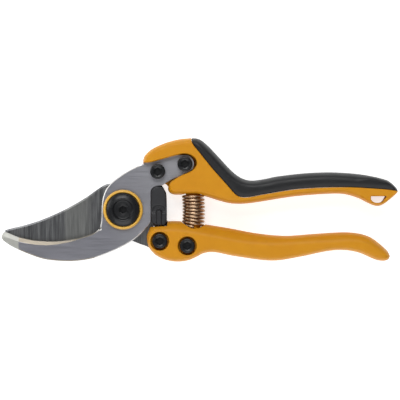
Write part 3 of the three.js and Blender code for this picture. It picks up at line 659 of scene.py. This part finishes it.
def yellow_nylon():
    """Glass-filled nylon moulded in a spark-eroded tool: warm orange-yellow, an even fine grain of about
    0.3 mm, a satin shine, and faint flow marks several millimetres wide."""
    material, tree, place = new_material("moulded_yellow_nylon")
    flow = add_node(tree, "TexNoise", {"Vector": place, "Scale": 0.12, "Detail": 3.0, "Roughness": 0.6})
    colour = add_node(tree, "Mix", {0: flow.outputs["Fac"], 6: srgb("#c38109"), 7: srgb("#d2900f")},
                      data_type="RGBA")
    grain = add_node(tree, "TexNoise", {"Vector": place, "Scale": 3.0, "Detail": 3.0})
    rough = add_node(tree, "MapRange", {0: grain.outputs["Fac"], 1: 0.3, 2: 0.7, 3: 0.44, 4: 0.58})
    bump = add_node(tree, "Bump", {"Height": grain.outputs["Fac"], "Strength": 0.2, "Distance": 0.00004})
    shader = add_node(tree, "BsdfPrincipled", {
        "Base Color": colour.outputs[2], "Roughness": rough.outputs[0], "IOR": 1.34, "Normal": bump.outputs[0],
        "Subsurface Weight": 0.08, "Subsurface Radius": (0.002, 0.001, 0.0004), "Subsurface Scale": 0.5})
    add_node(tree, "OutputMaterial", {"Surface": shader.outputs[0]})
    return material


def soft_grip():
    """Soft thermoplastic rubber, moulded: charcoal, matt, with a fine pebbled grain of about 0.5 mm that
    softens its highlights."""
    material, tree, place = new_material("soft_grip_rubber")
    cells = add_node(tree, "TexVoronoi", {"Vector": place, "Scale": 2.2, "Smoothness": 0.6},
                     feature="SMOOTH_F1")
    dust = add_node(tree, "TexNoise", {"Vector": place, "Scale": 0.25, "Detail": 4.0})
    colour = add_node(tree, "Mix", {0: dust.outputs["Fac"], 6: srgb("#0f1012"), 7: srgb("#1a1b1d")},
                      data_type="RGBA")
    rough = add_node(tree, "MapRange", {0: dust.outputs["Fac"], 1: 0.3, 2: 0.7, 3: 0.42, 4: 0.54})
    bump = add_node(tree, "Bump", {"Height": cells.outputs["Distance"], "Strength": 0.18, "Distance": 0.00006})
    shader = add_node(tree, "BsdfPrincipled", {
        "Base Color": colour.outputs[2], "Roughness": rough.outputs[0], "IOR": 1.4, "Normal": bump.outputs[0]})
    add_node(tree, "OutputMaterial", {"Surface": shader.outputs[0]})
    return material


nylon = yellow_nylon()

nose = curve([(36.6, 38.6), (29.9, 37.9), (23, 36.1), (15.8, 32.9), (11.8, 29.4), (10.7, 26.6)])
nose_tip = [(10.7, 26.6), (10.9, 25.6), (11.9, 25.1)]
back_wall = curve([(10.7, 26.6), (11.3, 21.5), (14, 16.9), (18.5, 14.6), (22.6, 13.9), (24.2, 12.4)])
mouth = curve([
    *nose_tip, (15.2, 25.4), (20.1, 26.7), (24.6, 28), (29.1, 29.2), (32.6, 29.9), (35.5, 29.5), (37.6, 28.4),
    (39, 26.8), (39.4, 25), (38.9, 23.2), (37.4, 21.5), (35.3, 20.3), (31.6, 18.7), (28, 16.7), (25.6, 15),
    (24.2, 12.4)], 0.5)
jaw = curve([(24.2, 12.4), (24.1, 10.9), (24.9, 9.3), (26.5, 8.3), (28.5, 8)], 0.5)
underside = curve([
    (28.5, 8), (36, 8), (42.2, 7.7), (51.8, 4.8), (57.1, 3.5), (62.4, 3.1), (68.5, 3.5), (76.1, 4.6), (91.3, 7),
    (106.4, 8.3), (118, 8.5), (126.3, 6.4), (132.5, 3.4), (136.7, 2), (140.4, 3), (146, 7.4), (148.35, 9.7)])
grip_outer = curve([
    (148.35, 9.7), (147.4, 11.6), (144.3, 14.6), (140.5, 16.5), (129.1, 18.9), (113.9, 20.1), (98.8, 19.7),
    (83.6, 18), (76.1, 16.5), (69.2, 15.7), (63.7, 17.1), (58.2, 21.2), (49.9, 30.1), (44.9, 35.2), (40.8, 38.1),
    (36.6, 38.6)])
grip_seam = curve([
    (148.35, 9.7), (144.3, 10.5), (136.7, 11.2), (121.6, 12), (106.4, 11.8), (91.3, 10.7), (76.1, 8.2),
    (66.4, 6.6), (61, 7.8), (55.4, 13.8), (47.1, 23.2), (41.6, 30.1), (37.4, 35.4), (36.6, 38.6)])
lanyard_hole = np.vstack([
    curve([(133.4, 7.2), (133.4, 5.5), (134.8, 4.2), (137, 3.7), (139.3, 4.3), (141.4, 7.2)], 0.4)[:-1],
    curve([(141.4, 7.2), (133.4, 7.2)], 0.4)[:-1]])

outer_edges = np.vstack([nose[::-1], grip_outer[::-1][1:], underside[::-1][1:], jaw[::-1][1:]])
hole_edge = ring(lanyard_hole)
mouth_outline = np.vstack([mouth, back_wall[::-1][1:-1]])


def loop_share(points):
    """Share of the rounding's width that is left: all of it, but less in the narrow loop at the handle's end."""
    return np.interp(points[:, 0], (126, 133), (1, 0.45))


def upper_front(half_thickness, edge):
    """The handle's front: half the thickness times the rounded edge, over the mouth's floor.

    The edge is rounded over its own width outside and a narrower one round the mouth and the lanyard hole;
    between them the width follows the closer edge. The mouth itself is its flat floor.
    """
    def height(points):
        narrow = closeness(points, mouth) + closeness(points, hole_edge)
        near = closeness(points, outer_edges) + narrow
        width = (edge + (MOUTH_EDGE - edge) * (narrow / near)**2) * loop_share(points)
        rise = (PARTING + half_thickness - MOUTH_FLOOR) * rim(depth_from(near) / width)
        floor_there = inside(points, mouth_outline) | (distance(points, back_wall) < 0.05)
        return MOUTH_FLOOR + np.where(floor_there, 0, rise)
    return height


def upper_back(half_thickness, edge):
    """The handle's back: the same rounded edge, going down, with the mouth's place closed by the back wall."""
    def height(points):
        near = closeness(points, np.vstack([outer_edges, back_wall[::-1][1:]])) + closeness(points, hole_edge)
        width = edge * loop_share(points)
        return MOUTH_FLOOR - (MOUTH_FLOOR - PARTING + half_thickness) * rim(depth_from(near) / width)
    return height


def beside_seam(height, sign, fall=0.0):
    """The height, lowered towards the seam by a small rounding and a shallow fall over the grip's shoulder."""
    def lowered(points):
        away = distance(points, grip_seam)
        drop = GROOVE * (1 - rim(away / GROOVE)) + fall * (1 - np.clip(away / GRIP_SHOULDER, 0, 1))**2
        level = height(points)
        return level - sign * drop * np.clip(np.abs(level - MOUTH_FLOOR) / 3, 0, 1)
    return lowered


body_outline = np.vstack([nose[:-1], back_wall[:-1], jaw[:-1], underside[:-1], grip_seam[:-1]])
grip_gap = np.array([0.05, 0.12])
grip_outline = np.vstack([grip_outer[1:-1], (grip_seam[::-1] + grip_gap)[1:-1]])

body_flat = sheet(body_outline, [lanyard_hole], [mouth[1:-1]], rim_rows(1.9), 0.9)
upper_body = make_piece("upper_body", shell(
    body_flat, beside_seam(upper_front(BODY_HALF, BODY_EDGE), 1),
    beside_seam(upper_back(BODY_HALF, BODY_EDGE), -1)), nylon)
tang_slot = np.vstack([
    [(5, 8), (14.7, 8), (14.7, 11), (17.6, 12.5), (21.4, 12.9), (24.3, 14.7), (28.1, 16.6)],
    arc(UPPER_SCREWS["rear"], 5.1, -62, 95), [(22.4, 28.8), (15.4, 26.9), (9, 24.4), (5, 22)]])
upper_seat = round_the_spring([
    (0, -2), (SPRING_SEAT_RADIUS, -2), (SPRING_SEAT_RADIUS, SPRING_TOP + 0.3), (0, SPRING_TOP + 0.3)])
upper_peg = round_the_spring([
    (0, SPRING_TOP - 4), *rounded([
        (1, SPRING_TOP - 4), (SPRING_PEG_RADIUS, SPRING_TOP - 4), (SPRING_PEG_RADIUS, SPRING_TOP + 1)], 0.8),
    (0, SPRING_TOP + 1)])
reshape(upper_body, "DIFFERENCE", [
    prism(tang_slot, MOUTH_FLOOR, HOOK_HIGH + SLOT_PLAY), upper_seat,
    *(nut_pocket(centre) for centre in UPPER_SCREWS.values())])
reshape(upper_body, "UNION", [upper_peg])
hand_over(upper_body, "hook_half", "yellow_nylon", "upper_handle_body")

grip_flat = sheet(grip_outline, (), (), rim_rows(3.2), 0.9)
grip = make_piece("soft_grip", shell(
    grip_flat, beside_seam(upper_front(HALF_THICKNESS, GRIP_EDGE), 1, GRIP_FALL),
    beside_seam(upper_back(HALF_THICKNESS, GRIP_EDGE), -1, GRIP_FALL)), soft_grip(), 50)
hand_over(grip, "hook_half", "black_rubber", "upper_handle_grip")

# ---------------------------------------------------------------- the lower handle
# Moulded in the same nylon. The side that faces the other handle is cut back to a broad sloping shoulder.
# The cutting blade's tang, the lock catch and the spring's foot sit in pockets in its head.

LOWER_EDGE = 2.2
SHOULDER_SLOPE = 0.95
COUNTERBORE_RADIUS = 5
CATCH_PIN = (19.5, -9.9)
CATCH_FOOT = 2.4
CATCH_LOW = 2.5
CATCH_HIGH = 14.5
FULL_OPENING = 36  # degrees; the head is cut clear of the hook, as it stands when the handles are fully open
HOOK_ROOM = 1.02  # stretch of the hook, about the pivot, that the cut allows for
PIN_HOLE_RADIUS = 1.15
FOOT_SLOT_HIGH = 12.4

lower_inner = curve([
    (12.6, -14.6), (13.2, -11.8), (15, -9), (17.8, -7.6), (23.7, -6.3), (31.3, -6.3), (44.7, -8), (57.1, -10),
    (72.3, -12.8), (87.4, -14.1), (102.6, -13.1), (117.8, -12.2), (125.3, -12.6), (130.6, -13.8), (135.2, -16),
    (142, -21.7), (143.9, -25)])
lower_outer = curve([
    (143.9, -25), (143, -26.8), (140.5, -27.6), (137.4, -27.3), (134.4, -26.3), (126.8, -23.1), (118.5, -21.8),
    (109.4, -22.5), (95, -25.5), (79.9, -27.5), (60.9, -25.2), (49.5, -23), (43.5, -23.5), (39.7, -25.4),
    (35.2, -27.3), (29.9, -28.05), (24.6, -27.5), (20.1, -26), (16.2, -23.4), (13.4, -19.4), (12.6, -14.6)])
lower_outline = np.vstack([lower_inner[:-1], lower_outer[:-1]])[::-1]


def lower_half(points):
    """Half the thickness at each point: the rounded edge, times what the sloping shoulder leaves.

    The shoulder falls evenly from its inner line, whose distance from the edge changes along the handle, and
    starts with a soft crease about a millimetre wide.
    """
    width = np.interp(points[:, 0], (14, 22, 38, 61, 91, 114, 136, 143), (2.5, 4.6, 5, 5.8, 3.8, 4.4, 3.2, 1.5))
    over = width - distance(points, lower_inner)
    cut = SHOULDER_SLOPE * (over + np.sqrt(over**2 + 0.5)) / 2
    return (HALF_THICKNESS - cut) * rim(depth_from(closeness(points, ring(lower_outline))) / LOWER_EDGE)


def counterbore(centre):
    """The wide hole for a screw's head, flared at the handle's face."""
    flare = arc((COUNTERBORE_RADIUS + 0.6, 16.3), 0.6, 180, 90, 0.15)
    wall = (COUNTERBORE_RADIUS, HOOK_HIGH)
    return turned(centre, (ROUND, [(0, HOOK_HIGH), wall, *flare, (5.9, 18), (0, 18)]))


lower_flat = sheet(lower_outline, (), (), rim_rows(1.9), 0.9)
lower_body = make_piece("lower_body", shell(
    lower_flat, lambda p: PARTING + lower_half(p), lambda p: PARTING - lower_half(p)), nylon)
cutter_slot = [
    (5, -16.7), (9.3, -18.2), (12.8, -20.2), (17, -22.4), (24, -23.6), (31, -24.5), (37.1, -24.7), (41.4, -22.6),
    (42.6, -19.3), (40.7, -15.9), (34.6, -14.2), (27, -13.2), (20, -13), (17.5, -12.4), (16.9, -11),
    (16.8, -9.2), (16.2, -6.5), (5, -6.5)]
catch_slot = [(14.9, -9.3), (23.7, -9.3), (23.9, -6.3), (24.8, -4), (24.8, 0), (10, 0), (10, -7), (14.6, -7.7)]
foot_slot = np.vstack([arc(CATCH_PIN, CATCH_FOOT + 0.15, 180, 360), [(22.6, -8), (16.4, -8)]])
spring_cup = round_the_spring([
    (0, SPRING_FOOT - 0.3), (SPRING_SEAT_RADIUS, SPRING_FOOT - 0.3), (SPRING_SEAT_RADIUS, 0), (0, 0)])
lower_peg = round_the_spring([
    (0, SPRING_FOOT - 1), *rounded([
        (SPRING_PEG_RADIUS, SPRING_FOOT - 1), (SPRING_PEG_RADIUS, SPRING_FOOT + 4), (1, SPRING_FOOT + 4)], 0.8),
    (0, SPRING_FOOT + 4)])
pin_hole = turned(CATCH_PIN, (ROUND, [(0, 1.2), (PIN_HOLE_RADIUS, 1.2), (PIN_HOLE_RADIUS, 13.9), (0, 13.9)]))
opened = np.radians(FULL_OPENING)
hook_when_open = HOOK_ROOM * hook_belly[:45] @ [
    (np.cos(opened), np.sin(opened)), (-np.sin(opened), np.cos(opened))]
slot_low, rib_slot = CATCH_LOW - SLOT_PLAY, [(17, -8.8), (21.8, -8.8), (21.8, 0), (17, 0)]
reshape(lower_body, "DIFFERENCE", [
    prism([(0, 0), *hook_when_open], MOUTH_FLOOR, HOOK_HIGH + SLOT_PLAY), spring_cup,
    prism(cutter_slot, CUTTER_LOW - SLOT_PLAY, CUTTER_HIGH + SLOT_PLAY),
    prism(catch_slot, slot_low, CATCH_HIGH + SLOT_PLAY),
    prism([(23, -9.3), (25.4, -9.3), (25.4, 0), (23, 0)], slot_low, CUTTER_LOW),
    prism(foot_slot, slot_low, FOOT_SLOT_HIGH), prism(rib_slot, CATCH_HIGH - 1, 18), pin_hole,
    *(nut_pocket(centre) for centre in LOWER_SCREWS.values()),
    *(counterbore(centre) for centre in LOWER_SCREWS.values())])
reshape(lower_body, "UNION", [lower_peg])
hand_over(lower_body, "cutter_half", "yellow_nylon", "lower_handle_body")

# ---------------------------------------------------------------- the handle screws and their nuts
# Four black M4 cap screws with hexagon sockets hold the blades' tangs in the handles. Each is screwed into a
# zinc-plated hexagon nut, which sits in a pocket at the handle's back.

HEAD_LOW = HOOK_HIGH + 0.3
HEAD_HIGH = HEAD_LOW + 3.6
HEAD_RADIUS = 4.05

for half, body, centres in (("upper", "hook_half", UPPER_SCREWS), ("lower", "cutter_half", LOWER_SCREWS)):
    for place, centre in centres.items():
        head = rounded([
            (SCREW_RADIUS, HEAD_LOW), (HEAD_RADIUS, HEAD_LOW), (HEAD_RADIUS, HEAD_HIGH - 0.45),
            (HEAD_RADIUS - 0.45, HEAD_HIGH), (SOCKET + 0.8, HEAD_HIGH), (SOCKET + 0.35, HEAD_HIGH - 0.25)], 0.3)
        screw = turned(
            centre, (ROUND, [(0, 0.7), (SCREW_RADIUS - 0.4, 0.7), (SCREW_RADIUS, 1.1)]), (ROUND, head),
            (HEXAGON, [(SOCKET, HEAD_HIGH - 0.35), (SOCKET, HEAD_HIGH - 2.2), (0, HEAD_HIGH - 2.2)]))
        screw = make_piece(f"{half}_cap_screw_{place}", screw, black)
        hand_over(screw, body, "black_steel", f"{half}_screw_{place}")
        bore, low, high = SCREW_RADIUS + 0.15, 0.4, 3.4
        nut = turned(
            centre, (ROUND, [(bore, low + 0.3), (bore + 0.3, low), (NUT_HALF - 0.1, low)]),
            (HEXAGON, [(NUT_HALF, low + 0.35), (NUT_HALF, high - 0.35)]),
            (ROUND, [(NUT_HALF - 0.1, high), (bore + 0.3, high), (bore, high - 0.3), (bore, low + 0.3)]))
        nut = make_piece(f"{half}_hex_nut_{place}", nut, zinc)
        hand_over(nut, body, "zinc_steel", f"{half}_nut_{place}")

# ---------------------------------------------------------------- the handle spring
# A coil of 1.4 mm spring wire with a bronze-coloured coating, pressed between the handles. The handles don't
# face each other squarely, so it bows towards their ends.

WIRE = 0.7
COIL = 6.15 - WIRE
TURNS = 9.75
BOW = 0.6


def wire_coil(centre_line, radius, wire, turns, steps=48, sides=16):
    """Round wire wound left-handed about a centre line, as a grid along the wire and around it.

    A point of the wire's middle is the centre line's point plus the radius, turned about the line's direction;
    around it lies a circle across the wire's own direction. The wire's ends are closed by small domes.
    """
    t = np.linspace(0, 1, round(turns * steps))
    middle, direction = centre_line(t)
    upward = np.array([0.0, 0.0, 1.0])
    side = np.cross(upward, direction)
    angle = 2 * np.pi * turns * t[:, None]
    outward = upward * np.cos(angle) + side * np.sin(angle)
    path = middle + radius * outward
    forward = np.gradient(path, axis=0)
    forward /= np.linalg.norm(forward, axis=1)[:, None]
    across = np.cross(forward, outward)
    around = np.linspace(0, 2 * np.pi, sides, endpoint=False)[None, :, None]
    spokes = outward[:, None] * np.cos(around) + across[:, None] * np.sin(around)
    tube = path[:, None] + wire * spokes
    dome = np.radians([25, 50, 75, 90])
    out, along = np.cos(dome)[:, None, None], np.sin(dome)[:, None, None]
    first, last = (path[end] + wire * (spokes[end] * out + sign * forward[end] * along)
                   for end, sign in ((0, -1), (-1, 1)))
    return np.concatenate([first[::-1], tube, last])


def bowed_line(t):
    """From foot to top along Y, moved towards +X by a parabola, with the line's direction at each point."""
    foot, top = SPRING_FOOT + WIRE, SPRING_TOP - WIRE
    x = SPRING_X + BOW * (4 * t * (1 - t) - 0.4)
    middle = np.column_stack([x, foot + (top - foot) * t, np.full(len(t), PARTING)])
    direction = np.gradient(middle, axis=0)
    return middle, direction / np.linalg.norm(direction, axis=1)[:, None]


# Bronze-coloured coated spring wire: a warm metal, shiny along the top of each turn, with drawing marks and
# slight wear.
coated_wire = mottled("coated_spring_wire", 0.8, 4.0, ("#937359", "#c9ae90"), {"Metallic": 1.0}, (0.24, 0.38))

spring = make_piece("coil_spring", grid_solid(wire_coil(bowed_line, COIL, WIRE, TURNS)), coated_wire, 60)
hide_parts("handle_spring")
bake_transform(spring)

# ---------------------------------------------------------------- the lock catch
# A black nylon catch that stands between the handles on a steel pin, with a thumb rib low on its face, an
# arched hollow above the rib and a flange that runs beneath the blades. A ball and a small spring hold it up.

CATCH_EDGE = 0.9
CATCH_BORE = 1.07
FOOT_DROP = 2.4
RIB_X = 19.35
RIB_HALF = 1.6
RIB_TOP = 0.05
RIB_HEIGHT = 1.15
HOLLOW_DEPTH = 0.9
BLADE_CLEARANCE = 16.5
BLADE_ROOM = 0.3

catch_outline = np.vstack([
    arc(CATCH_PIN, CATCH_FOOT, 170, 370, 0.3),
    curve([(22.5, -8.3), (23.3, -6.4), (23.5, -4), (23.5, -1.2), (23.4, 5.2), (23.15, 8.7), (22.6, 10),
           (21.9, 11.1), (20.3, 12.3), (18, 12.4), (16, 11.3), (15.2, 9.6), (15.05, 7), (15.05, 4),
           (15.05, -3.6), (15.6, -7)], 0.3)])


def soft_step(amount, width):
    """From 0 to 1 as the amount passes 0, over the width: 3 t^2 - 2 t^3."""
    t = np.clip(amount / width + 0.5, 0, 1)
    return t * t * (3 - 2 * t)


def catch_front(points):
    """The catch's face: its rounded edge, plus the rib with its round top, less the arched hollow above it.

    Its foot, inside the handle, is lower.
    """
    x, y = points.T
    level = CATCH_HIGH - CATCH_EDGE * (1 - rim(distance(points, ring(catch_outline)) / CATCH_EDGE))
    off_rib = np.hypot(x - RIB_X, np.clip(y - (RIB_TOP - RIB_HALF), 0, None))
    rib = RIB_HEIGHT * soft_step(RIB_HALF - 0.3 - off_rib, 0.6) * soft_step(y + 8.2, 0.5)
    above = np.hypot(x - RIB_X, y - RIB_TOP + RIB_HALF)
    arch = soft_step(3.9 - above, 1.6) * soft_step(above - RIB_HALF - 0.2, 0.5) * soft_step(y + 1.4, 1.6)
    return level + rib - HOLLOW_DEPTH * arch - FOOT_DROP * soft_step(-8.5 - y, 0.4)


def catch_back(points):
    """The catch's back: its rounded edge, going down."""
    return CATCH_LOW + CATCH_EDGE * (1 - rim(distance(points, ring(catch_outline)) / CATCH_EDGE))


# Moulded nylon in black: satin, with a fine eroded grain and a slight grey bloom.
black_nylon = mottled("moulded_black_nylon", 0.35, 3.0, ("#1f1f22", "#2c2c2f"),
                      {"Roughness": 0.48, "IOR": 1.42}, grain=(3.5, 2.0, 0.2, 0.00004))


catch_flat = sheet(catch_outline, (), (), rim_rows(CATCH_EDGE, 18), 0.28)
catch = make_piece("lock_catch_black", shell(catch_flat, catch_front, catch_back), black_nylon)
flange = [(14.3, -3), (15.2, -8.8), (24.4, -8.8), (24.3, -6.7), (23.2, -5.4), (23, 8.5), (21.8, 11.6),
          (20.5, 13.3), (17.5, 13.3), (15, 12), (14.3, 9.5)]
beside_tang = [(10, -13), (16.9, -13), (16.9, -11.2), (16.8, -9.4), (16.3, -7.2), (15.8, -5.4), (15.1, -3.7),
               (10, -3.7)]
blades_low, blades_high = CUTTER_LOW - BLADE_ROOM, HOOK_HIGH + BLADE_ROOM
reshape(catch, "UNION", [prism(flange, CATCH_LOW + 0.3, CUTTER_LOW - 0.4)])
reshape(catch, "DIFFERENCE", [
    turned((0, 0), (ROUND, [(0, blades_low), (BLADE_CLEARANCE, blades_low), (BLADE_CLEARANCE, blades_high),
                            (0, blades_high)])),
    prism(beside_tang, blades_low, CUTTER_HIGH + BLADE_ROOM),
    turned(CATCH_PIN, (ROUND, [(0, 0), (CATCH_BORE, 0), (CATCH_BORE, 17), (0, 17)]))])
hand_over(catch, "catch", "black_nylon", "lock_catch")

pin = turned(CATCH_PIN, (ROUND, [(0, 1.5), (0.8, 1.5), (1, 1.7), (1, 13.5), (0.8, 13.7), (0, 13.7)]))
hand_over(make_piece("catch_pin_steel", pin, zinc), "cutter_half", "zinc_steel", "catch_pin")

for node, material in (("detent_ball", zinc), ("detent_spring", coated_wire)):
    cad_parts[node].data.materials.clear()
    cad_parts[node].data.materials.append(material)

# ---------------------------------------------------------------- the studio
# The shears lie on a sheet of matt white card. Two softboxes light them from both sides, a small one from the
# left, and the sky is brighter at its horizon. The camera looks straight down.

def area_light(name, place, target, size, power):
    """A square soft light at a place in metres, aimed at a target."""
    light = bpy.data.lights.new(name, "AREA")
    light.size, light.energy = size, power
    lamp = bpy.data.objects.new(name, light)
    lamp.location = place
    lamp.rotation_euler = (Vector(target) - Vector(place)).to_track_quat("-Z", "Y").to_euler()
    bpy.context.scene.collection.objects.link(lamp)


# Matt white card: nearly white, with the faintest cloudiness, and a little light of its own to keep it so.
white_card = mottled("matt_white_card", 0.02, 3.0, ("#d4d4d3", "#d7d7d6"), {
    "Roughness": 0.9, "Emission Color": srgb("#ffffff"), "Emission Strength": 0.7})
floor = make_piece("card", weld(
    np.array([(-3000, -3000, -0.05), (3000, -3000, -0.05), (3000, 3000, -0.05), (-3000, 3000, -0.05)], float),
    np.array([(0, 1, 2), (0, 2, 3)])), white_card)

MIDDLE = (0.041, 0.005, 0.008)
area_light("north_softbox", (-0.08, 0.75, 0.9), MIDDLE, 0.7, 8.9)
area_light("south_softbox", (-0.02, -0.95, 0.95), MIDDLE, 1.5, 13.5)
area_light("west_softbox", (-0.95, 0.35, 0.28), MIDDLE, 0.6, 2.2)

world = bpy.data.worlds.new("studio")
world.use_nodes = True
world.node_tree.nodes.clear()
sky = world.node_tree
upward = add_node(sky, "SeparateXYZ", {0: add_node(sky, "TexCoord").outputs["Generated"]}).outputs["Z"]
glow = add_node(sky, "MapRange", {"Value": upward, 1: 0.0, 2: 0.7, 3: 0.36, 4: 0.18}).outputs[0]
add_node(sky, "OutputWorld", {"Surface": add_node(
    sky, "Background", {"Color": srgb("#f3f5f8"), "Strength": glow}).outputs[0]})
bpy.context.scene.world = world
bpy.context.scene.view_settings.view_transform = "Standard"

lens = bpy.data.cameras.new("overhead")
lens.lens = 200
camera = bpy.data.objects.new("overhead", lens)
camera.location = (0.0414, 0.0052, 1.2085)
bpy.context.scene.collection.objects.link(camera)
bpy.context.scene.camera = camera
